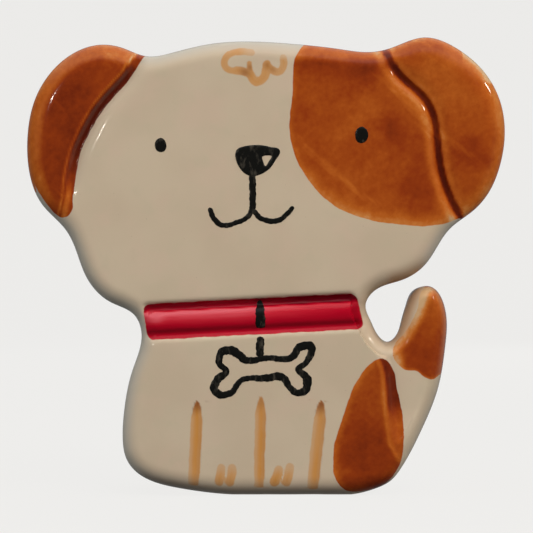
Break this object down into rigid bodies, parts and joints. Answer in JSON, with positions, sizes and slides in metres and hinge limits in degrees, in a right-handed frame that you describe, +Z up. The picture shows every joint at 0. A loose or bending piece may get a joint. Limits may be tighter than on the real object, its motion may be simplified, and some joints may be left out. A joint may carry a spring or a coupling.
{
  "type": "animal coin bank",
  "caption": "Slim hollow glazed-earthenware coin bank in the shape of a sitting dog, with a coin slot in the top of the head and a soft stopper closing the base.",
  "frame": {"origin": "centre of the bounding box, at the plane the foot stands on", "axes": "+Z up; -Y is the painted face of the dog; +X to the viewer's right when looking at the face"},
  "size_m": [0.1464, 0.05, 0.14],
  "materials": {
    "cream_glaze": "gloss",
    "brown_glaze": "gloss",
    "red_glaze": "gloss",
    "black_enamel": "gloss",
    "stopper_rubber": "matte"
  },
  "bodies": {
    "bank": {"ceramic_shell": "cream_glaze", "left_ear": "brown_glaze", "right_ear": "brown_glaze", "collar": "red_glaze", "left_eye": "black_enamel", "right_eye": "black_enamel", "nose": "black_enamel", "mouth_line": "black_enamel", "bone_tag": "black_enamel"},
    "stopper": {"stopper": "stopper_rubber"}
  },
  "joints": [
    {"name": "stopper_pull", "type": "slide", "parent": "bank", "child": "stopper", "axis": [0, 0, -1], "range_m": [0, 0.03]}
  ]
}
